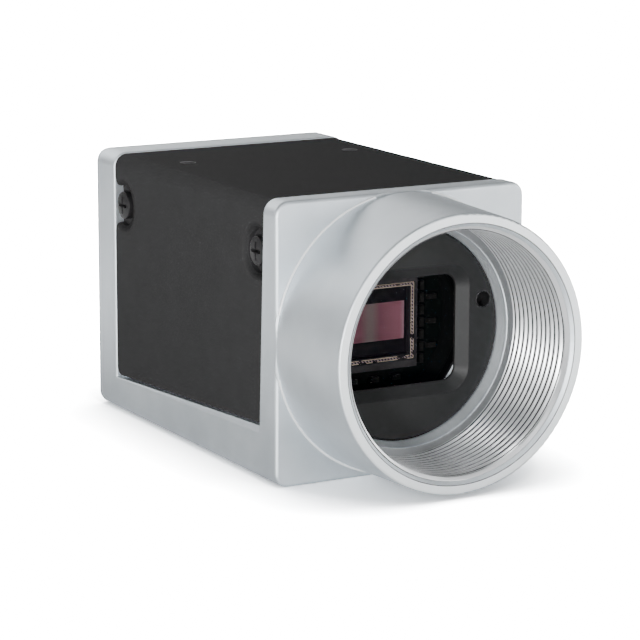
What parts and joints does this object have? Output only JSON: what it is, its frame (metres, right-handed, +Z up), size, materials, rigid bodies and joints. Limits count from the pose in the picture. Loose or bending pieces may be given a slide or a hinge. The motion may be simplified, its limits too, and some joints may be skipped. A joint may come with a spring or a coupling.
{
  "type": "machine vision camera",
  "caption": "Small box camera body: silver cast housing with a screw-in lens mount, black wrap-round cover, network jack and round connector at the rear.",
  "frame": {"origin": "centre of the lens mount's front face, on the optical axis", "axes": "-Y out of the lens mount along the optical axis, +Y towards the connectors, +Z up, +X to the right when facing the lens mount"},
  "size_m": [0.029, 0.0603, 0.029],
  "materials": {
    "satin_silver_housing": "bead-blasted, nickel-like satin silver",
    "black_powder_coat": "fine matt black coat",
    "black_screws": "black oxide",
    "black_anodised_holder": "matt black anodised",
    "filter_glass": "clear coated glass",
    "rubber_seal": "soft black rubber",
    "ceramic_package": "dark grey ceramic",
    "sensor_chip": "smooth, mauve-pink sheen",
    "lid_glass": "clear glass",
    "gold_ring": "thin gold plate",
    "circuit_board": "dark solder mask",
    "soldered_parts": "ceramic with tinned ends",
    "steel_spacers": "turned steel",
    "connector_plastic": "moulded black plastic",
    "chip_plastic": "moulded black package",
    "steel_screws": "zinc plated",
    "jack_shield": "stamped, tinned steel",
    "jack_plastic": "moulded black plastic",
    "gold_contacts": "gold plate",
    "nickel_shell": "satin nickel plate",
    "nickel_nut": "nickel plate",
    "led_resin": "clear resin",
    "clear_light_pipe": "moulded clear plastic"
  },
  "bodies": {
    "root": {"board_screws": "steel_screws", "cover": "black_powder_coat", "cover_screws": "black_screws", "dust_seal": "rubber_seal", "filter_glass": "filter_glass", "filter_holder": "black_anodised_holder", "housing": "satin_silver_housing", "interface_board": "circuit_board", "interface_board_parts": "soldered_parts", "interface_link_plug": "connector_plastic", "interface_link_socket": "connector_plastic", "io_connector_insert": "jack_plastic", "io_connector_nut": "nickel_nut", "io_connector_pins": "gold_contacts", "io_connector_shell": "nickel_shell", "memory_chips": "chip_plastic", "network_jack_contacts": "gold_contacts", "network_jack_insert": "jack_plastic", "network_jack_shell": "jack_shield", "network_transformer": "chip_plastic", "processor_board": "circuit_board", "processor_board_parts": "soldered_parts", "processor_board_spacers": "steel_spacers", "processor_chip": "chip_plastic", "sensor_board": "circuit_board", "sensor_board_parts": "soldered_parts", "sensor_board_spacers": "steel_spacers", "sensor_die": "sensor_chip", "sensor_lid_glass": "lid_glass", "sensor_link_plug": "connector_plastic", "sensor_link_socket": "connector_plastic", "sensor_package": "ceramic_package", "sensor_seal_ring": "gold_ring", "status_led": "led_resin", "status_light_pipe": "clear_light_pipe"}
  },
  "joints": []
}
